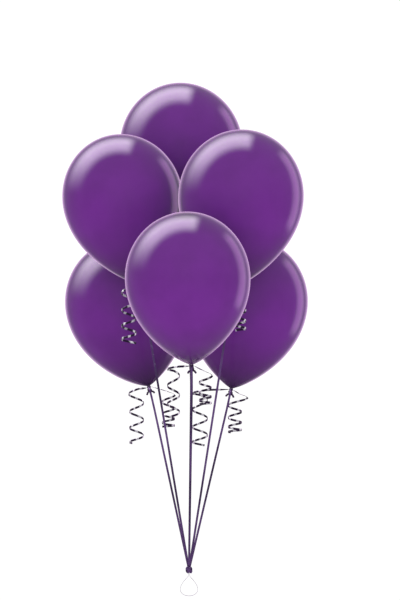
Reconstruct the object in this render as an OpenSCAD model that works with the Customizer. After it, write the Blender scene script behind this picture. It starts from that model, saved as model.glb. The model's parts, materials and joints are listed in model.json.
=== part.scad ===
// A bunch of six helium balloons. Each latex balloon is knotted shut and tied to its own ribbon,
// with two curled ribbon tails at the tie, and all six ribbons meet in one knot above a hand loop.
// Millimetres. +Z is up, +X is right and -Y is the front. The origin is the foot of the hand loop.

/* [Front balloon] */
// Diameter at the widest ring
front_d = 281; // [270:1:285]
// Tie point, measured from the gather knot
front_tie = [6.5, -165, 481.5]; // [-300:0.5:900]
// Lean of its axis to the right and to the back, in degrees
front_lean = [-2.5, -19]; // [-25:0.5:25]

/* [Upper left balloon] */
// Diameter at the widest ring
upper_left_d = 282; // [270:1:285]
// Tie point, measured from the gather knot
upper_left_tie = [-113, 40.5, 664.5]; // [-300:0.5:900]
// Lean of its axis to the right and to the back, in degrees
upper_left_lean = [-12, 3.5]; // [-25:0.5:25]

/* [Upper right balloon] */
// Diameter at the widest ring
upper_right_d = 290; // [280:1:292]
// Tie point, measured from the gather knot
upper_right_tie = [100, -26.5, 655.5]; // [-300:0.5:900]
// Lean of its axis to the right and to the back, in degrees
upper_right_lean = [5.5, -2]; // [-25:0.5:25]

/* [Top balloon] */
// Diameter at the widest ring
top_d = 301; // [290:1:302]
// Tie point, measured from the gather knot
top_tie = [8, 232.5, 786.5]; // [-300:0.5:900]
// Lean of its axis to the right and to the back, in degrees
top_lean = [-7.5, 16]; // [-25:0.5:25]

/* [Lower left balloon] */
// Diameter at the widest ring
lower_left_d = 297; // [285:1:298]
// Tie point, measured from the gather knot
lower_left_tie = [-97, 168, 422.5]; // [-300:0.5:900]
// Lean of its axis to the right and to the back, in degrees
lower_left_lean = [-15.5, 21.5]; // [-25:0.5:25]

/* [Lower right balloon] */
// Diameter at the widest ring
lower_right_d = 291; // [280:1:293]
// Tie point, measured from the gather knot
lower_right_tie = [99.5, 110.5, 418.5]; // [-300:0.5:900]
// Lean of its axis to the right and to the back, in degrees
lower_right_lean = [10.5, 15]; // [-25:0.5:25]

/* [Balloon shape] */
// Height from the tie to the widest ring, as a share of the radius
belly_height = 1.47; // [1.4:0.01:1.5]
// Height from the widest ring to the crown, as a share of the radius
crown_height = 1.07; // [1:0.01:1.12]
// Power that shapes the taper: a half is an ellipse, and more draws it in towards the neck
taper = 0.84; // [0.7:0.01:0.9]
// Wall of the skin
skin_t = 0.4; // [0.4:0.1:0.8]

/* [Neck] */
// Radius of the drawn-in neck
neck_r = 4; // [3.5:0.1:4.5]
// Length of neck below the tie
neck_h = 5; // [4.5:0.1:6]
// Radius of the knot in the neck
knot_r = 6; // [5.5:0.1:6.5]
// Radius of the arch that the rolled rim droops in
rim_arch_r = 9; // [7:0.5:10]
// Thickness of the rolled rim
rim_t = 3.6; // [3:0.1:4]

/* [Ribbons] */
// Thickness of a ribbon's own tube
ribbon_t = 2.4; // [2:0.1:3]
// Build-up of the ribbon wound round the neck
wrap_t = 1.3; // [1:0.1:1.5]
// Height of that winding
wrap_h = 3.4; // [2:0.1:3.6]

/* [Gathering] */
// Radius of the knot that the six ribbons meet in
gather_r = 11.5; // [10:0.5:12]
// Height of that knot's centre above the foot of the hand loop
gather_z = 62; // [60:1:80]
// Half width of the hand loop
loop_w = 21; // [15:1:30]

/* [Hidden] */
$fn = 48;
SIDES = 8;
LOWER_STEPS = 14;
UPPER_STEPS = 9;
EASE = 1; // a ribbon stops this far short of what it is tied to
SIDE_CLEAR = 7.5; // a curl springs from this far beside the neck
FRONT_CLEAR = 8.2; // a straight ribbon passes this far in front of the neck knot
TIE_DROP = 3; // and both start this far below the tie point
LEAD_SAG = 2.5; // a curl's lead droops by this much where it springs out

// A curl is [reach, x, y, top, bottom, radius]: how far its lead springs out sideways, then the centre,
// heights and radius of its curled part, all measured from the tie point.
front_curls = [[-46, -41, 4, -14, -120, 16], [47, 31, 2, -34, -92, 16]];
upper_left_curls = [[-46, -28, 6, -30, -140, 19], [50, 40, 10, -34, -95, 15]];
upper_right_curls = [[-50, -42, 10, -34, -110, 15], [32, 20, 6, -32, -100, 14]];
top_curls = [[-34, -25, 0, -30, -58, 14], [32, 22, 0, -30, -58, 13]];
lower_left_curls = [[-49, -29, 4, -30, -140, 19], [56, 47, 6, -30, -100, 17]];
lower_right_curls = [[-60, -74, 4, -16, -138, 20], [42, 9, 10, -32, -106, 18]];

// The places that a ribbon is led through between the gather knot and its tie. Only the top balloon's
// is, because it rests between the two lower balloons.
top_bow = [[5, 110, 470], [-18, 137, 575], [-14, 174, 685]];

NAME = 0;
DIAMETER = 1;
TIE = 2;
LEAN = 3;
CURLS = 4;
BOW = 5;
BUNCH = [
    ["front", front_d, front_tie, front_lean, front_curls, []],
    ["upper_left", upper_left_d, upper_left_tie, upper_left_lean, upper_left_curls, []],
    ["upper_right", upper_right_d, upper_right_tie, upper_right_lean, upper_right_curls, []],
    ["top", top_d, top_tie, top_lean, top_curls, top_bow],
    ["lower_left", lower_left_d, lower_left_tie, lower_left_lean, lower_left_curls, []],
    ["lower_right", lower_right_d, lower_right_tie, lower_right_lean, lower_right_curls, []],
];
PIECES = ["skin", "neck_knot", "rolled_rim", "ribbon_tie", "ribbon", "left_curl", "right_curl"];

purple = [0.42, 0.19, 0.53];
dark_purple = [0.25, 0.1, 0.33];
ribbon_purple = [0.3, 0.16, 0.42];

function unit(v) = v / norm(v);

// A balloon's own axes at its tie: along its axis, to its back and to its right.
function up_of(b) = unit([tan(b[LEAN][0]), tan(b[LEAN][1]), 1]);
function back_of(b) = unit(cross(up_of(b), [1, 0, 0]));
function right_of(b) = cross(back_of(b), up_of(b));
function at_neck(b, v) = b[TIE] + v[0] * right_of(b) + v[1] * back_of(b) + v[2] * up_of(b);

// The skin's outline from the neck to the crown, on a radius of r and moved in by depth.
function lower_outline(r, depth) = [
    for (i = [LOWER_STEPS : -1 : 0])
        let (t = i / LOWER_STEPS)
        [max(neck_r, r * pow(1 - t * t, taper)) - depth, r * belly_height * (1 - t) + depth * t]
];
function upper_outline(r, depth) = [
    for (i = [1 : UPPER_STEPS])
        let (a = 90 * i / UPPER_STEPS)
        [(r - depth) * cos(a), r * belly_height + (r * crown_height - depth) * sin(a)]
];
function outline(r, depth) = concat(
    [[neck_r - depth, -neck_h]], lower_outline(r, depth), upper_outline(r, depth));
function reversed(list) = [for (i = [len(list) - 1 : -1 : 0]) list[i]];

// Carries a piece from the tie's own frame to its place in the bunch.
module at_tie(b) {
    x = right_of(b);
    y = back_of(b);
    z = up_of(b);
    p = b[TIE] + [0, 0, gather_z];
    multmatrix([[x[0], y[0], z[0], p[0]], [x[1], y[1], z[1], p[1]], [x[2], y[2], z[2], p[2]]])
        children();
}

// A round tube swept along a route of points.
module tube(route, r) {
    last = len(route) - 1;
    rings = [
        for (i = [0 : last])
            let (along = unit(route[min(i + 1, last)] - route[max(i - 1, 0)]))
            let (across = unit(cross(along, [0, 1, 0])))
            let (over = cross(across, along))
            for (k = [0 : SIDES - 1])
                let (a = 360 * k / SIDES)
                route[i] + r * (cos(a) * across + sin(a) * over)
    ];
    walls = [
        for (i = [0 : last - 1])
            for (k = [0 : SIDES - 1])
                let (n = (k + 1) % SIDES, low = i * SIDES, high = low + SIDES)
                for (face = [[low + k, low + n, high + n], [low + k, high + n, high + k]])
                    face
    ];
    foot = [for (k = [SIDES - 1 : -1 : 0]) k];
    head = [for (k = [0 : SIDES - 1]) last * SIDES + k];
    polyhedron(rings, concat(walls, [foot, head]));
}

// The inflated envelope, open at the neck's end where the knot closes it.
module skin(b) {
    r = b[DIAMETER] / 2;
    color(purple)
        at_tie(b)
            rotate_extrude()
                polygon(concat(outline(r, 0), reversed(outline(r, skin_t))));
}

module knot_ball() {
    translate([0, 0, -neck_h - 0.75 * knot_r])
        sphere(knot_r);
}

// The knot in the neck: a ball that is flat where the neck enters it.
module neck_knot(b) {
    color(dark_purple)
        at_tie(b)
            difference() {
                knot_ball();
                translate([0, 0, knot_r - neck_h])
                    cube(2 * knot_r, center = true);
            }
}

// The neck's rolled rim, folded flat by the knot so that it droops on both sides.
module rolled_rim(b) {
    droop = 72;
    color(dark_purple)
        at_tie(b)
            difference() {
                translate([0, 0, -neck_h - 1.75 * knot_r - rim_arch_r + rim_t / 2])
                    rotate([90, 0, 0])
                        union() {
                            rotate([0, 0, 90 - droop])
                                rotate_extrude(angle = 2 * droop)
                                    translate([rim_arch_r, 0])
                                        circle(d = rim_t);
                            for (side = [-1, 1])
                                rotate([0, 0, 90 - side * droop])
                                    translate([rim_arch_r, 0, 0])
                                        sphere(d = rim_t);
                        }
                knot_ball();
            }
}

// The ribbon wound round the neck above the knot.
module ribbon_tie(b) {
    color(ribbon_purple)
        at_tie(b)
            translate([0, 0, -wrap_h - 0.8])
                difference() {
                    cylinder(r = neck_r + wrap_t, h = wrap_h);
                    translate([0, 0, -1])
                        cylinder(r = neck_r, h = wrap_h + 2);
                }
}

// The straight ribbon from the gather knot up to the front of the tie.
module ribbon(b) {
    top_end = [at_neck(b, [0, -FRONT_CLEAR, -28]), at_neck(b, [0, -FRONT_CLEAR, -TIE_DROP])];
    aim = len(b[BOW]) > 0 ? b[BOW][0] : top_end[0];
    route = concat([unit(aim) * (gather_r + EASE)], b[BOW], top_end);
    color(ribbon_purple)
        translate([0, 0, gather_z])
            tube(route, ribbon_t / 2);
}

// A curled tail: a thin lead that springs out from the tie, and the fat tube that its curls fill.
module curl(b, side) {
    c = b[CURLS][side];
    x = c[1];
    y = c[2];
    top = c[3];
    r = c[5];
    outward = side == 0 ? -1 : 1;
    lead = [
        at_neck(b, [outward * SIDE_CLEAR, 0, -TIE_DROP]) - b[TIE],
        [0.55 * c[0], 0.4 * y, -TIE_DROP - LEAD_SAG],
        [c[0], 0.8 * y, 0.45 * top],
        [(x + c[0]) / 2, y, top - 4]
    ];
    color(ribbon_purple)
        translate(b[TIE] + [0, 0, gather_z])
            union() {
                tube(lead, ribbon_t / 2);
                translate([x, y, c[4]])
                    rotate_extrude()
                        polygon([[0, 0], [r - 4, 0], [r, 4], [r, top - c[4] - 4], [r - 4, top - c[4]],
                            [0, top - c[4]]]);
            }
}

// The knot that gathers the six ribbons, and the pivot that they all swing about.
module gather_knot() {
    color(ribbon_purple)
        translate([0, 0, gather_z])
            sphere(gather_r);
}

// The loop under the knot that a hand, hook or weight holds.
module hand_loop() {
    gap = 12; // degrees left open at the top, under the knot
    steps = 18;
    drop = gather_z - gather_r - EASE - ribbon_t / 2;
    route = [
        for (i = [0 : steps])
            let (u = gap + i * (360 - 2 * gap) / steps)
            [loop_w * 1.3 * sin(u) * sin(u / 2), 0, ribbon_t / 2 + (drop - ribbon_t / 2) * (1 + cos(u)) / 2]
    ];
    color(ribbon_purple)
        tube(route, ribbon_t / 2);
}

for (b = BUNCH) {
    skin(b);
    neck_knot(b);
    rolled_rim(b);
    ribbon_tie(b);
    ribbon(b);
    curl(b, 0);
    curl(b, 1);
}
gather_knot();
hand_loop();
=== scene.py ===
"""A bunch of six knotted latex balloons, each on its own ribbon with two curled tails.

Metres, in the row frame: +Z is up, +X is right, -Y is the front, and the origin is the foot of the
hand loop.
"""

import json
import math

import bpy
from mathutils import Matrix, Vector, noise


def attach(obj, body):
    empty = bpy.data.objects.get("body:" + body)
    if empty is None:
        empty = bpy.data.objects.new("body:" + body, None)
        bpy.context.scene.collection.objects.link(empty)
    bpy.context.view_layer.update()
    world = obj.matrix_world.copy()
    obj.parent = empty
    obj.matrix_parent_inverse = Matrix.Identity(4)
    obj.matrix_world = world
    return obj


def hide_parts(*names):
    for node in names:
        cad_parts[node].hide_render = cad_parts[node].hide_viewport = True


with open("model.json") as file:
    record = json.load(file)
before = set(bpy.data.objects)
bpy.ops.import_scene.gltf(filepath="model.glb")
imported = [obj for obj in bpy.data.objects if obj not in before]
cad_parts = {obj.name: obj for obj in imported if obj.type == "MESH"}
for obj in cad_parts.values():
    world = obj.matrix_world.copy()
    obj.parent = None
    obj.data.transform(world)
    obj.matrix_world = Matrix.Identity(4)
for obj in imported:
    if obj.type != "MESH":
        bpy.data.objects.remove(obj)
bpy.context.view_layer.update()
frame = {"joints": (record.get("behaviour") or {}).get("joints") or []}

# Camera
EYE = (0.0256, -6.232, 0.6902)
LENS = 160.7

# Each balloon: its diameter, and the lean of its axis to the right and to the back in degrees.
# A curl is (reach, x, y, top, bottom, radius, turns, squeeze): how far its lead springs out sideways,
# the centre, heights and radius of its curled part, all from the tie point, then how many turns it has
# and how much closer the turns lie at the bottom.
BALLOONS = {
    "front": {
        "diameter": 0.281,
        "lean": (-2.5, -19),
        "curls": (
            (-0.046, -0.041, 0.004, -0.014, -0.120, 0.016, 2.6, 1.15),
            (0.047, 0.031, 0.002, -0.034, -0.092, 0.016, 3.2, 1.5),
        ),
    },
    "upper_left": {
        "diameter": 0.282,
        "lean": (-12, 3.5),
        "curls": (
            (-0.046, -0.028, 0.006, -0.030, -0.140, 0.019, 3.2, 1.25),
            (0.050, 0.040, 0.010, -0.034, -0.095, 0.015, 3.2, 1.5),
        ),
    },
    "upper_right": {
        "diameter": 0.290,
        "lean": (5.5, -2),
        "curls": (
            (-0.050, -0.042, 0.010, -0.034, -0.110, 0.015, 2.4, 1.1),
            (0.032, 0.020, 0.006, -0.032, -0.100, 0.014, 3.2, 1.4),
        ),
    },
    "top": {
        "diameter": 0.301,
        "lean": (-7.5, 16),
        "curls": (
            (-0.034, -0.025, 0.000, -0.030, -0.058, 0.014, 1.6, 1.0),
            (0.032, 0.022, 0.000, -0.030, -0.058, 0.013, 1.6, 1.0),
        ),
    },
    "lower_left": {
        "diameter": 0.297,
        "lean": (-15.5, 21.5),
        "curls": (
            (-0.049, -0.029, 0.004, -0.030, -0.140, 0.019, 2.9, 1.15),
            (0.056, 0.047, 0.006, -0.030, -0.100, 0.017, 3.2, 1.6),
        ),
    },
    "lower_right": {
        "diameter": 0.291,
        "lean": (10.5, 15),
        "curls": (
            (-0.060, -0.074, 0.004, -0.016, -0.138, 0.020, 3.1, 1.2),
            (0.042, 0.009, 0.010, -0.032, -0.106, 0.018, 3.4, 1.6),
        ),
    },
}
# The places that the top balloon's ribbon is led through, from the gather knot.
TOP_BOW = ((0.005, 0.110, 0.470), (-0.018, 0.137, 0.575), (-0.014, 0.174, 0.685))

# A balloon's outline, as shares of its radius: the belly's height above the tie, the crown's height
# above the belly, and how sharply it narrows to the neck
BELLY_HEIGHT = 1.47
CROWN_HEIGHT = 1.07
TAPER = 0.84

# Its neck, the knot in it, and the rolled rim's arch and thickness
NECK_R = 0.004
NECK_H = 0.005
KNOT_R = 0.006
KNOT_STRAND_R = 0.0021
RIM_ARCH_R = 0.0092
RIM_T = 0.0050

# Ribbon: its width, its thickness, and its hollow as a share of its width
RIBBON_W = 0.005
RIBBON_T = 0.0003
CUP = 0.06

# The tie: how far below the tie point the ribbons leave it, how far from the axis the straight ribbon
# and the tails start, the tails' sag, and the straight ribbon's clearance in front of the lip
TIE_DROP = 0.003
BOUND_R = 0.0056
CURL_START = 0.0060
LEAD_SAG = 0.0025
FRONT_CLEAR = 0.0082
LIP_DROP = 0.028

# A tail's points a turn and in its lead, how far it stays inside its sleeve, and the points over which
# it widens from the tie
TURN_STEPS = 24
LEAD_STEPS = 12
SLEEVE_EASE = 0.0015
PINCHED = 4

# The gather knot, how far from its middle the ribbons end, and the hand loop below it
GATHER_R = 0.0115
KNOT_DEPTH = 0.0065
KNOT_GAP = 0.001
LOOP_W = 0.021
LOOP_R = 0.0012

# Ribs across a ribbon, in radians over half its width, and the distance between the white glints painted on
# a curl
RIBS = 22.0
PAINTED_GLINT_PERIOD = 0.0205

JOINTS = {joint["name"]: joint for joint in frame["joints"]}
GATHER = Vector(JOINTS["bunch_lean"]["pos_m"])


def line_body(name):
    """The body that a balloon's ribbon rides on."""
    return "gather" if name == "top" else name + "_line"


def tie_point(name):
    return Vector(JOINTS[name + "_tilt"]["pos_m"])


def neck_axes(name):
    """The balloon's own axes at its tie, as a matrix: right, back and up along its axis."""
    right_lean, back_lean = (math.radians(a) for a in BALLOONS[name]["lean"])
    up = Vector((math.tan(right_lean), math.tan(back_lean), 1)).normalized()
    back = up.cross(Vector((1, 0, 0))).normalized()
    right = back.cross(up)
    axes = Matrix((right, back, up)).transposed().to_4x4()
    return Matrix.Translation(tie_point(name)) @ axes


# ---------------------------------------------------------------- mesh helpers


def mesh_piece(name, vertices, faces, material, body):
    """A smooth-shaded mesh that rides on a CAD body."""
    mesh = bpy.data.meshes.new(name)
    mesh.from_pydata([tuple(v) for v in vertices], [], faces)
    mesh.validate()
    for polygon in mesh.polygons:
        polygon.use_smooth = True
    mesh.materials.append(material)
    piece = bpy.data.objects.new(name, mesh)
    bpy.context.scene.collection.objects.link(piece)
    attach(piece, body)
    return piece


def ring_faces(rings, sides, closed=False):
    """Quads between rings of vertices that each have the given number of sides."""
    faces = []
    for i in range(rings if closed else rings - 1):
        low, high = i * sides, (i + 1) % rings * sides
        for k in range(sides):
            n = (k + 1) % sides
            faces.append((low + k, low + n, high + n, high + k))
    return faces


def smooth(t):
    """A share from 0 to 1, eased at both ends."""
    return t * t * (3 - 2 * t)


def bezier(a, b, c, d, t):
    return a * (1 - t)**3 + b * 3 * t * (1 - t)**2 + c * 3 * t * t * (1 - t) + d * t**3


def eased(route, passes):
    """The route with its corners rounded off and its ends kept."""
    for _ in range(passes):
        middle = [(a + 2 * b + c) / 4 for a, b, c in zip(route, route[1:], route[2:])]
        route = [route[0], *middle, route[-1]]
    return route


def stretched(points, step=0.012, passes=12):
    """Straight runs between the points, with the corners eased."""
    route = []
    for a, b in zip(points, points[1:]):
        count = max(1, round((b - a).length / step))
        route += [a.lerp(b, i / count) for i in range(count)]
    route.append(points[-1])
    return eased(route, passes)


def tangents(route):
    last = len(route) - 1
    return [(route[min(i + 1, last)] - route[max(i - 1, 0)]).normalized() for i in range(last + 1)]


def flat_strip(route, facings, width=RIBBON_W, thickness=RIBBON_T, pinched=0):
    """Vertices and faces of a flat, slightly cupped ribbon, and how far across it each vertex lies.

    The ribbon widens from a third of its width over its first pinched points.
    """
    shares = (-1, -0.5, 0, 0.5, 1)
    vertices, across = [], []
    for i, (point, along, facing) in enumerate(zip(route, tangents(route), facings)):
        wide = width * (min(1, (1 + 2 * i / pinched) / 3) if pinched else 1)
        out = (facing - facing.dot(along) * along).normalized()
        side = along.cross(out)
        for face in (1, -1):
            for share in shares if face == 1 else reversed(shares):
                lift = CUP * wide * (0.5 - share * share) + face * thickness / 2
                vertices.append(point + side * share * wide / 2 + out * lift)
                across.append(share)
    sides = 2 * len(shares)
    faces = ring_faces(len(route), sides)
    last = (len(route) - 1) * sides
    faces.append(tuple(range(sides - 1, -1, -1)))
    faces.append(tuple(range(last, last + sides)))
    return vertices, faces, across


def ribbon_piece(name, route, facings, body, material, pinched=0):
    """A ribbon that keeps its share across and its distance along for the material to read."""
    vertices, faces, across = flat_strip(route, facings, pinched=pinched)
    piece = mesh_piece(name, vertices, faces, material, body)
    keep(piece, "across", across)
    travelled = [0.0]
    for a, b in zip(route, route[1:]):
        travelled.append(travelled[-1] + (b - a).length)
    sides = len(vertices) // len(route)
    keep(piece, "along", [distance for distance in travelled for _ in range(sides)])
    return piece


def keep(piece, name, values):
    """Keeps one number a vertex for the material to read."""
    attribute = piece.data.attributes.new(name, "FLOAT", "POINT")
    attribute.data.foreach_set("value", values)


def joined(parts):
    """Several (vertices, faces, across) lists as one."""
    vertices, faces, across = [], [], []
    for part in parts:
        start = len(vertices)
        vertices += part[0]
        faces += [tuple(i + start for i in face) for face in part[1]]
        across += part[2]
    return vertices, faces, across


# ---------------------------------------------------------------- node helpers


class Nodes:
    """Short names for building a node tree."""

    def __init__(self, tree):
        self.tree = tree

    def add(self, kind, **settings):
        node = self.tree.nodes.new(kind)
        for key, value in settings.items():
            setattr(node, key, value)
        return node

    def feed(self, socket, value):
        if isinstance(value, bpy.types.NodeSocket):
            self.tree.links.new(value, socket)
        else:
            socket.default_value = value

    def math(self, operation, a, b=0.0):
        node = self.add("ShaderNodeMath", operation=operation)
        self.feed(node.inputs[0], a)
        self.feed(node.inputs[1], b)
        return node.outputs[0]

    def ramp(self, value, low, high, to_low=0.0, to_high=1.0):
        """value from low to high becomes to_low to to_high, eased at both ends."""
        node = self.add("ShaderNodeMapRange", interpolation_type="SMOOTHSTEP")
        for key, number in zip(("Value", "From Min", "From Max", "To Min", "To Max"),
                               (value, low, high, to_low, to_high)):
            self.feed(node.inputs[key], number)
        return node.outputs[0]

    def window(self, value, low, high, soft_low, soft_high):
        """1 between low and high, falling to 0 over the soft widths outside them."""
        rise = self.ramp(value, low - soft_low, low)
        fall = self.ramp(value, high, high + soft_high, 1.0, 0.0)
        return self.math("MULTIPLY", rise, fall)

    def colours(self, value, stops):
        """A colour ramp of (position, colour) stops."""
        node = self.add("ShaderNodeValToRGB")
        points = node.color_ramp.elements
        while len(points) < len(stops):
            points.new(1.0)
        for point, (position, colour) in zip(points, stops):
            point.position = position
            point.color = (*colour, 1)
        self.feed(node.inputs[0], value)
        return node.outputs[0]

    def noise(self, where, scale, detail=2.0, roughness=0.5):
        node = self.add("ShaderNodeTexNoise")
        self.feed(node.inputs["Vector"], where)
        node.inputs["Scale"].default_value = scale
        node.inputs["Detail"].default_value = detail
        node.inputs["Roughness"].default_value = roughness
        return node.outputs[0]

    def tinted(self, colour, low, high, amount):
        """colour made darker or lighter by a number from 0 to 1."""
        node = self.add("ShaderNodeMix", data_type="RGBA", blend_type="MULTIPLY")
        node.inputs["Factor"].default_value = 1.0
        self.feed(node.inputs["A"], colour)
        grey = self.ramp(amount, 0.3, 0.7, low, high)
        self.feed(node.inputs["B"], grey)
        return node.outputs["Result"]

    def bump(self, height, distance, strength):
        node = self.add("ShaderNodeBump")
        node.inputs["Distance"].default_value = distance
        node.inputs["Strength"].default_value = strength
        self.feed(node.inputs["Height"], height)
        return node.outputs[0]


def new_material(name):
    material = bpy.data.materials.new(name)
    material.use_nodes = True
    return material, Nodes(material.node_tree), material.node_tree.nodes["Principled BSDF"]


# ---------------------------------------------------------------- materials


def latex_material():
    """Stretched latex: even and glossy, deeper at the crown's dot where it is thick, and darker towards the
    neck, partly for the thicker latex there and partly as painted shade on the balloon's underside.
    """
    material, nodes, shader = new_material("stretched_latex")
    height = nodes.add("ShaderNodeAttribute", attribute_name="height").outputs["Fac"]
    where = nodes.add("ShaderNodeTexCoord").outputs["Object"]
    # Darker over the lower part towards the neck: thicker latex there, and painted shade as well; the dip at
    # the top is the crown's thick dot
    colour = nodes.colours(height, (
        (0.0, (0.028, 0.006, 0.050)),
        (0.035, (0.056, 0.010, 0.094)),
        (0.12, (0.106, 0.014, 0.176)),
        (0.24, (0.152, 0.0185, 0.256)),
        (0.40, (0.188, 0.0225, 0.318)),
        (0.985, (0.188, 0.0245, 0.320)),
        (0.997, (0.105, 0.014, 0.180)),
    ))
    cloud = nodes.noise(where, 14.0, 3.0)
    nodes.feed(shader.inputs["Base Color"], nodes.tinted(colour, 0.94, 1.06, cloud))
    smudge = nodes.noise(where, 38.0, 4.0, 0.6)
    nodes.feed(shader.inputs["Roughness"], nodes.ramp(smudge, 0.3, 0.7, 0.10, 0.15))
    grain = nodes.noise(where, 1400.0, 2.0)
    nodes.feed(shader.inputs["Normal"], nodes.bump(grain, 0.00002, 0.35))
    shader.inputs["IOR"].default_value = 1.50
    return material


def neck_material():
    """Slack, folded latex at the knot and rim: dark, satin and finely wrinkled, with painted shade in the
    wrinkles' hollows.
    """
    material, nodes, shader = new_material("slack_latex")
    where = nodes.add("ShaderNodeTexCoord").outputs["Object"]
    fold_with_painted_shade = nodes.noise(where, 420.0, 4.0, 0.6)
    # Painted shade: the noise that sinks the wrinkles' hollows in the bump also darkens the colour there
    colour = nodes.colours(fold_with_painted_shade, ((0.3, (0.020, 0.004, 0.036)), (0.7, (0.055, 0.010, 0.092))))
    nodes.feed(shader.inputs["Base Color"], colour)
    nodes.feed(shader.inputs["Roughness"], nodes.ramp(fold_with_painted_shade, 0.3, 0.7, 0.42, 0.30))
    nodes.feed(shader.inputs["Normal"], nodes.bump(fold_with_painted_shade, 0.0006, 0.6))
    return material


def ribbon_material(name, dark, light):
    """Curling ribbon: shiny purple film with fine ribs along it, lighter and darker in long stretches."""
    material, nodes, shader = new_material(name)
    across = nodes.add("ShaderNodeAttribute", attribute_name="across").outputs["Fac"]
    where = nodes.add("ShaderNodeTexCoord").outputs["Object"]
    patch = nodes.noise(where, 60.0, 2.0)
    stretch = nodes.noise(where, 6.0, 1.0)
    colour = nodes.colours(stretch, ((0.38, dark), (0.56, light)))
    nodes.feed(shader.inputs["Base Color"], nodes.tinted(colour, 0.88, 1.12, patch))
    ribs = nodes.math("SINE", nodes.math("MULTIPLY", across, RIBS))
    streak = nodes.noise(where, 900.0, 2.0)
    height = nodes.math("ADD", ribs, nodes.math("MULTIPLY", streak, 0.4))
    nodes.feed(shader.inputs["Normal"], nodes.bump(height, 0.00004, 0.5))
    nodes.feed(shader.inputs["Roughness"], nodes.ramp(patch, 0.3, 0.7, 0.20, 0.28))
    shader.inputs["Metallic"].default_value = 0.25
    return material


def curl_material():
    """The same film once curled: painted darker as shade, and creased every so often, with a white highlight
    painted into its colour at each crease.
    """
    material, nodes, shader = new_material("curled_ribbon_painted_light")
    across = nodes.add("ShaderNodeAttribute", attribute_name="across").outputs["Fac"]
    along = nodes.add("ShaderNodeAttribute", attribute_name="along").outputs["Fac"]
    where = nodes.add("ShaderNodeTexCoord").outputs["Object"]
    patch = nodes.noise(where, 90.0, 2.0)
    slant = nodes.math("MULTIPLY", across, 0.0007)
    drift = nodes.math("MULTIPLY", nodes.math("SUBTRACT", nodes.noise(where, 14.0, 1.0), 0.5), 0.05)
    step = nodes.math("DIVIDE", nodes.math("ADD", nodes.math("ADD", along, slant), drift), PAINTED_GLINT_PERIOD)
    off = nodes.math("ABSOLUTE", nodes.math("SUBTRACT", nodes.math("FRACT", step), 0.5))
    clear_of_tie = nodes.ramp(along, 0.004, 0.010, 0.0, 1.0)
    crease_and_painted_glint = nodes.math("MULTIPLY", nodes.ramp(off, 0.11, 0.21, 1.0, 0.0), clear_of_tie)
    # Painted light: at each crease the colour turns near white, a painted glint, and the near-black between
    # them is painted shade
    colour = nodes.colours(crease_and_painted_glint, ((0.0, (0.032, 0.009, 0.056)), (1.0, (0.90, 0.87, 0.94))))
    nodes.feed(shader.inputs["Base Color"], nodes.tinted(colour, 0.8, 1.2, patch))
    ribs = nodes.math("SINE", nodes.math("MULTIPLY", across, RIBS))
    height = nodes.math("ADD", ribs, nodes.math("MULTIPLY", crease_and_painted_glint, 3.0))
    nodes.feed(shader.inputs["Normal"], nodes.bump(height, 0.00004, 0.5))
    nodes.feed(shader.inputs["Roughness"], nodes.ramp(crease_and_painted_glint, 0.0, 1.0, 0.24, 0.42))
    shader.inputs["Metallic"].default_value = 0.35
    return material


def floor_material():
    """A pale sweep with some light of its own, like a lit studio floor."""
    material, nodes, shader = new_material("pale_floor")
    where = nodes.add("ShaderNodeTexCoord").outputs["Object"]
    patch = nodes.noise(where, 1.5, 3.0)
    nodes.feed(shader.inputs["Base Color"], nodes.colours(patch, ((0.3, (0.86,) * 3), (0.7, (0.90,) * 3))))
    shader.inputs["Roughness"].default_value = 0.85
    shader.inputs["Emission Color"].default_value = (1.0, 1.0, 1.0, 1)
    shader.inputs["Emission Strength"].default_value = 0.28
    return material


LATEX = latex_material()
NECK_LATEX = neck_material()
RIBBON = ribbon_material("curling_ribbon", (0.060, 0.026, 0.105), (0.175, 0.082, 0.285))
# The wound ribbon is the same film in darker colours: painted shade under the balloon's neck
BOUND_PAINTED_SHADE = ribbon_material("bound_ribbon_painted_shade", (0.030, 0.010, 0.055), (0.060, 0.022, 0.105))
CURLED_PAINTED_LIGHT = curl_material()


# ---------------------------------------------------------------- camera, light and floor


def add_camera():
    data = bpy.data.cameras.new("camera")
    data.lens = LENS
    data.sensor_width = 36
    camera = bpy.data.objects.new("camera", data)
    camera.location = EYE
    camera.rotation_euler = (math.radians(90), 0, 0)
    bpy.context.scene.collection.objects.link(camera)
    bpy.context.scene.camera = camera
    bpy.context.scene.view_settings.view_transform = "Standard"


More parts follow.
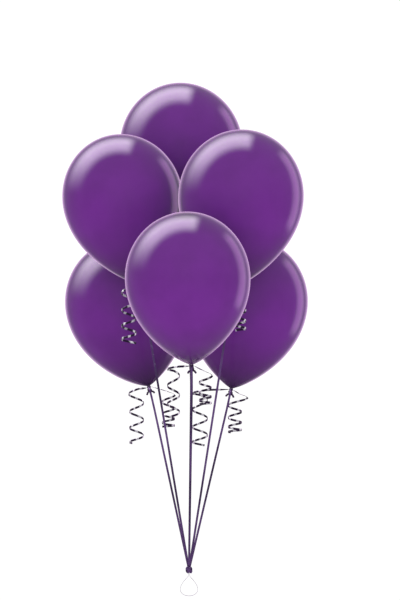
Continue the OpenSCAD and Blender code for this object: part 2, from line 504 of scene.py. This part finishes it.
def add_studio():
    """White surroundings, with a big curved softbox over the left shoulder and a narrow one at the right.

    The boxes stand level with the bunch and behind it, so that each balloon shows one arc at its upper left
    and one strip at its right. The even light of the room does the rest.
    """
    world = bpy.data.worlds.new("studio")
    bpy.context.scene.world = world
    world.use_nodes = True
    nodes = Nodes(world.node_tree)
    background = world.node_tree.nodes["Background"]
    direction = nodes.add("ShaderNodeTexCoord").outputs["Generated"]
    split = nodes.add("ShaderNodeSeparateXYZ")
    nodes.feed(split.inputs[0], direction)
    x, away, z = split.outputs

    def turned(degrees):
        """The angle round the front-to-back line, in degrees, from a direction that is up from the right."""
        c, s = math.cos(math.radians(degrees)), math.sin(math.radians(degrees))
        near = nodes.math("ADD", nodes.math("MULTIPLY", x, c), nodes.math("MULTIPLY", z, s))
        over = nodes.math("SUBTRACT", nodes.math("MULTIPLY", z, c), nodes.math("MULTIPLY", x, s))
        return nodes.math("MULTIPLY", nodes.math("ARCTAN2", over, near), 180 / math.pi)

    arc = nodes.window(turned(135), -50, -8, 12, 50)
    arc = nodes.math("MULTIPLY", arc, nodes.window(away, 0.16, 0.34, 0.42, 0.50))
    strip = nodes.window(turned(10), -30, 28, 10, 12)
    strip = nodes.math("MULTIPLY", strip, nodes.window(away, 0.46, 0.58, 0.22, 0.22))
    boxes = nodes.math("ADD", nodes.math("MULTIPLY", arc, 6.6), nodes.math("MULTIPLY", strip, 1.7))
    backdrop = nodes.ramp(away, 0.76, 0.97)
    room = nodes.math("ADD", 0.26, nodes.ramp(z, -0.4, 0.9, 0.0, 0.18))
    seen = nodes.math("ADD", nodes.math("ADD", room, nodes.math("MULTIPLY", backdrop, 0.8)), boxes)
    aim = Vector((0.0, -1.0, -0.12)).normalized()
    facing = nodes.add("ShaderNodeVectorMath", operation="DOT_PRODUCT")
    nodes.feed(facing.inputs[0], direction)
    facing.inputs[1].default_value = aim
    front_box = nodes.ramp(facing.outputs["Value"], 0.65, 0.98, 0.0, 0.76)
    even = nodes.math("ADD", nodes.ramp(z, -0.8, 0.9, 0.62, 0.52), front_box)

    ray = nodes.add("ShaderNodeLightPath").outputs
    strength = nodes.math("MULTIPLY", ray["Is Camera Ray"], 1.05)
    strength = nodes.math("ADD", strength, nodes.math("MULTIPLY", ray["Is Glossy Ray"], seen))
    strength = nodes.math("ADD", strength, nodes.math("MULTIPLY", ray["Is Diffuse Ray"], even))
    lilac = nodes.add("ShaderNodeMix", data_type="RGBA")
    tint = nodes.math("MAXIMUM", nodes.math("MAXIMUM", backdrop, strip), nodes.math("MULTIPLY", arc, 0.28))
    nodes.feed(lilac.inputs["Factor"], nodes.math("MULTIPLY", ray["Is Glossy Ray"], tint))
    lilac.inputs["A"].default_value = (1, 1, 1, 1)
    lilac.inputs["B"].default_value = (0.95, 0.62, 1.0, 1)
    nodes.feed(background.inputs["Color"], lilac.outputs["Result"])
    nodes.feed(background.inputs["Strength"], strength)


def add_floor():
    """A pale floor at arm's length under the hand loop."""
    sides, reach, depth = 96, 7.0, -0.9
    vertices = [(reach * math.cos(2 * math.pi * k / sides), reach * math.sin(2 * math.pi * k / sides), depth)
                for k in range(sides)]
    mesh = bpy.data.meshes.new("floor")
    mesh.from_pydata(vertices, [], [tuple(range(sides))])
    mesh.materials.append(floor_material())
    floor = bpy.data.objects.new("floor", mesh)
    floor.visible_glossy = False
    bpy.context.scene.collection.objects.link(floor)


# ---------------------------------------------------------------- ribbons


def straight_ribbon(name):
    """The stretched ribbon from inside the gather knot to the front of a balloon's tie."""
    axes = neck_axes(name)
    ends = [axes @ Vector((0, -FRONT_CLEAR, -LIP_DROP)), axes @ Vector((0, -BOUND_R, -TIE_DROP))]
    bow = [GATHER + Vector(p) for p in TOP_BOW] if name == "top" else []
    aim = ((bow + ends)[0] - GATHER).normalized()
    route = stretched([GATHER + aim * KNOT_DEPTH, *bow, *ends])
    phase = list(BALLOONS).index(name)
    facings = []
    for i in range(len(route)):
        twist = 0.16 * math.sin(2 * math.pi * 1.3 * i / len(route) + phase)
        facings.append(Vector((math.sin(twist), -math.cos(twist), 0)))
    piece = ribbon_piece(name + "_straight_ribbon", route, facings, line_body(name), RIBBON)
    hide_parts(name + "_ribbon")


def curl_route(name, side):
    """A curl's lead and its helix, and the direction that the ribbon faces at each point.

    The helix starts half a turn above its top, at the front, where the lead runs outward into it. A right
    curl's lead lies flat, and stands up on its edge over that half turn.
    """
    reach, x, y, top, bottom, radius, turns, squeeze = BALLOONS[name]["curls"][side]
    outward = -1 if side == 0 else 1
    r = radius - SLEEVE_EASE
    spring = outward * max(0, abs(reach) - abs(x) - r)
    flat = 0.3 if side == 0 else 4.0
    low = bottom + RIBBON_W / 2
    drop = (top - low) * squeeze / turns
    high = min(-TIE_DROP - LEAD_SAG, max(0.45 * top, top + drop / 2))
    helix, out_lines, lifts = [], [], []
    steps = round(TURN_STEPS * (turns + 0.5))
    for i in range(steps + 1):
        turned = (turns + 0.5) * i / steps
        first = min(1, 2 * turned)
        settled = min(1, turned / 0.8)
        centre = x + spring * (1 - smooth(settled))
        angle = math.pi * (2 * outward * turned - 0.5)
        out = Vector((math.cos(angle), math.sin(angle), 0))
        fall = 1 - max(0, 1 - max(0, turned - 0.5) / turns) ** squeeze
        z = high + (top - high) * first + (low - top) * fall
        helix.append(Vector((centre, y, z)) + out * r)
        out_lines.append(out)
        lifts.append(flat * (1 - smooth(first)))

    tie = tie_point(name)
    start = neck_axes(name) @ Vector((outward * CURL_START, 0, -TIE_DROP)) - tie
    end, along = helix[0], (helix[1] - helix[0]).normalized()
    handle = 0.4 * (end - start).length
    corners = [start, start + (end - start).normalized() * handle, end - along * handle, end]
    lead = [bezier(*corners, i / LEAD_STEPS) for i in range(LEAD_STEPS)]
    facings = [Vector((0, -1, flat))] * len(lead)
    facings += [out + Vector((0, 0, lift)) for out, lift in zip(out_lines, lifts)]
    return [tie + p for p in lead + helix], facings


def curl(name, side):
    route, facings = curl_route(name, side)
    word = ("left", "right")[side]
    piece = ribbon_piece(f"{name}_{word}_curled_tail", route, facings, line_body(name), CURLED_PAINTED_LIGHT, PINCHED)
    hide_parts(f"{name}_{word}_curl")


def hand_loop():
    """The loop of ribbon that hangs from the gather knot, with both its ends inside the knot."""
    gap, steps = 12, 96
    drop = GATHER.z - GATHER_R - KNOT_GAP - LOOP_R
    route = []
    for i in range(steps + 1):
        u = math.radians(gap + i * (360 - 2 * gap) / steps)
        x = LOOP_W * 1.3 * math.sin(u) * math.sin(u / 2)
        route.append(Vector((x, 0, LOOP_R + (drop - LOOP_R) * (1 + math.cos(u)) / 2)))
    inside = [Vector((0.0010, 0, GATHER.z - KNOT_DEPTH - 0.0022 * i)) for i in range(4)]
    mirrored = [Vector((-p.x, 0, p.z)) for p in reversed(inside)]
    route = eased([*inside, *route, *mirrored], 24)
    middle = Vector((0, 0, 0.03))
    facings = [(p - middle).normalized() for p in route]
    piece = ribbon_piece("ribbon_hand_loop", route, facings, "hand_loop_body", RIBBON)
    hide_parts("hand_loop")


# ---------------------------------------------------------------- balloon pieces


def skin_outline(radius):
    """(distance from the axis, height above the tie) from the neck's end to just short of the crown."""
    lower, upper = 84, 44
    outline = [(NECK_R, -NECK_H), (NECK_R, -0.6 * NECK_H), (NECK_R, -0.25 * NECK_H)]
    for i in range(lower + 1):
        t = 1 - (i / lower) ** 1.35
        outline.append((max(NECK_R, radius * (1 - t * t) ** TAPER), radius * BELLY_HEIGHT * (1 - t)))
    for i in range(1, upper):
        a = math.radians(90 * i / upper)
        outline.append((radius * math.cos(a), radius * (BELLY_HEIGHT + CROWN_HEIGHT * math.sin(a))))
    return outline


def balloon_skin(name):
    """The inflated skin, drawn into fine pleats where the ribbon gathers its neck."""
    radius = BALLOONS[name]["diameter"] / 2
    axes = neck_axes(name)
    sides = 144
    crown = radius * (BELLY_HEIGHT + CROWN_HEIGHT)
    seed = 3.0 * list(BALLOONS).index(name)
    outline = skin_outline(radius)
    vertices, heights = [], []
    for r, z in outline:
        fine = 0.09 * math.exp(-max(z, 0) / 0.009)
        broad = 0.020 * math.exp(-max(z, 0) / 0.028)
        for k in range(sides):
            a = 2 * math.pi * k / sides
            wander = 0.35 * noise.noise(Vector((math.cos(a), math.sin(a), seed)) * 2)
            pleat = fine * math.cos(16 * (a + wander)) + broad * math.cos(7 * (a + wander) + seed)
            swell = r * (1 + pleat - fine)
            vertices.append(axes @ Vector((swell * math.cos(a), swell * math.sin(a), z)))
            heights.append(max(z, 0) / crown)
    faces = ring_faces(len(outline), sides)
    top = len(vertices)
    vertices.append(axes @ Vector((0, 0, crown)))
    heights.append(1.0)
    last = top - sides
    faces += [(last + k, last + (k + 1) % sides, top) for k in range(sides)]
    piece = mesh_piece(name + "_latex_skin", vertices, faces, LATEX, name + "_balloon")
    piece.visible_glossy = False
    keep(piece, "height", heights)
    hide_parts(name + "_skin")


def round_tube(route, radii, sides=14, closed=False):
    """Vertices and faces of a round tube whose radius may change along it."""
    vertices = []
    count = len(route)
    for i, (point, r) in enumerate(zip(route, radii)):
        before = route[i - 1] if closed or i else route[0]
        after = route[(i + 1) % count] if closed or i < count - 1 else route[-1]
        along = (after - before).normalized()
        side = along.cross(Vector((0.03, 0.02, 1))).normalized()
        over = side.cross(along)
        for k in range(sides):
            a = 2 * math.pi * k / sides
            vertices.append(point + r * (math.cos(a) * side + math.sin(a) * over))
    faces = ring_faces(count, sides, closed)
    if not closed:
        last = (count - 1) * sides
        faces.append(tuple(range(sides - 1, -1, -1)))
        faces.append(tuple(range(last, last + sides)))
    return vertices, faces, [0.0] * len(vertices)


def trefoil(size, height, count=96):
    """The closed line of an overhand knot, lying flat."""
    route = []
    for i in range(count):
        t = 2 * math.pi * i / count
        x = math.sin(t) + 2 * math.sin(2 * t)
        y = math.cos(t) - 2 * math.cos(2 * t)
        route.append(Vector((x * size / 3, y * size / 3, -math.sin(3 * t) * height)))
    return route


def neck_knot(name):
    """The neck pulled through itself in an overhand knot, with its core."""
    axes = neck_axes(name)
    line = trefoil(KNOT_R - KNOT_STRAND_R, 0.0023)
    strand = round_tube(line, [KNOT_STRAND_R] * len(line), closed=True)
    core_route = [Vector((0, 0, z / 1000)) for z in (-4.6, -4.0, -2.0, 0.0, 2.0, 4.0, 4.6)]
    core = round_tube(core_route, [0.0016, 0.0026, 0.0034, 0.0036, 0.0034, 0.0026, 0.0016], sides=24)
    vertices, faces, _ = joined((strand, core))
    centre = Vector((0, 0, -NECK_H - 0.75 * KNOT_R))
    seed = 5.0 * list(BALLOONS).index(name)
    placed = []
    for v in vertices:
        swell = 1 + 0.10 * noise.noise(v * 500 + Vector((seed, 0, 0)))
        placed.append(axes @ (centre + v * swell))
    piece = mesh_piece(name + "_knotted_neck", placed, faces, NECK_LATEX, name + "_balloon")
    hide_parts(name + "_neck_knot")


def rolled_lip(name):
    """The mouth's rolled rim, folded flat and drooping on both sides, and the slack neck that it ends."""
    axes = neck_axes(name)
    centre = Vector((0, 0, -NECK_H - 1.80 * KNOT_R - RIM_ARCH_R + RIM_T / 2))
    steps = 44
    bead, radii = [], []
    for i in range(steps + 1):
        share = 2 * i / steps - 1
        a = math.radians(82 * share)
        wave = 0.0008 * math.sin(7 * share)
        bead.append(centre + Vector((RIM_ARCH_R * math.sin(a), wave, RIM_ARCH_R * math.cos(a))))
        tip = math.sqrt(max(0.02, 1 - max(0, (abs(share) - 0.86) / 0.14) ** 2))
        radii.append(RIM_T / 2 * tip * (1 - 0.10 * math.cos(9 * share) ** 2))
    rim = round_tube(bead, radii, sides=16)

    rows = 8
    vertices, faces = [], []
    for j in range(rows + 1):
        down = j / rows
        for i in range(steps + 1):
            share = 2 * i / steps - 1
            root = Vector((0.0028 * share, 0, -NECK_H - 1.5 * KNOT_R))
            pleat = 0.0010 * math.sin(math.pi * down) * math.sin(17 * share)
            vertices.append(root.lerp(bead[i], down) + Vector((0, pleat, 0)))
    back = [v + Vector((0, 0.0005, 0)) for v in vertices]
    width = steps + 1
    for j in range(rows):
        for i in range(steps):
            a, b = j * width + i, (j + 1) * width + i
            faces.append((a, a + 1, b + 1, b))
    sheet = (vertices, faces, [0.0] * len(vertices))
    lining = (back, [tuple(reversed(face)) for face in faces], [0.0] * len(back))
    vertices, faces, _ = joined((rim, sheet, lining))
    placed = [axes @ v for v in vertices]
    piece = mesh_piece(name + "_drooping_lip", placed, faces, NECK_LATEX, name + "_balloon")
    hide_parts(name + "_rolled_rim")


def wound_ribbon(name):
    """The ribbon's turns round the neck and the half knot that holds them at the front."""
    axes = neck_axes(name)
    turns, steps = 3.2, 96
    route, facings = [], []
    for i in range(steps + 1):
        a = 2 * math.pi * turns * i / steps - math.pi / 2
        r = NECK_R + 0.0006 + 0.0002 * math.sin(2.3 * a)
        z = -0.0040 + 0.0030 * i / steps + 0.0005 * math.sin(a)
        out = Vector((math.cos(a), math.sin(a), 0))
        route.append(out * r + Vector((0, 0, z)))
        facings.append(out)
    winding = flat_strip(route, facings, width=0.0016)
    line = [Vector((p.x, p.z, p.y)) for p in trefoil(0.0018, 0.0006, 60)]
    line.append(line[0])
    knot, knot_faces, knot_across = flat_strip(line, [p.normalized() for p in line], width=0.0013)
    knot = [v + Vector((0, -NECK_R - 0.0020, -0.0026)) for v in knot]
    vertices, faces, across = joined((winding, (knot, knot_faces, knot_across)))
    placed = [axes @ v for v in vertices]
    piece = mesh_piece(name + "_wound_ribbon", placed, faces, BOUND_PAINTED_SHADE, name + "_balloon")
    keep(piece, "across", across)
    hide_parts(name + "_ribbon_tie")


def gathered_knot():
    """The knot that holds all six ribbons: three strands, side by side, in one overhand knot."""
    parts = []
    flat = trefoil(0.0078, 0.0040, 120)
    for offset in (-0.0022, 0, 0.0022):
        line = [p + Vector((0, 0, offset)) for p in [*flat, flat[0]]]
        facings = [Vector((p.x, p.y, p.z * 0.4)).normalized() for p in line]
        parts.append(flat_strip(line, facings, width=0.0040, thickness=0.0006))
    vertices, faces, across = joined(parts)
    placed = [GATHER + v for v in vertices]
    piece = mesh_piece("gathered_ribbon_knot", placed, faces, RIBBON, "gather")
    keep(piece, "across", across)
    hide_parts("gather_knot")


add_camera()
for balloon in BALLOONS:
    straight_ribbon(balloon)
    curl(balloon, 0)
    curl(balloon, 1)
hand_loop()
for balloon in BALLOONS:
    balloon_skin(balloon)
    neck_knot(balloon)
    rolled_lip(balloon)
    wound_ribbon(balloon)
gathered_knot()
add_studio()
add_floor()
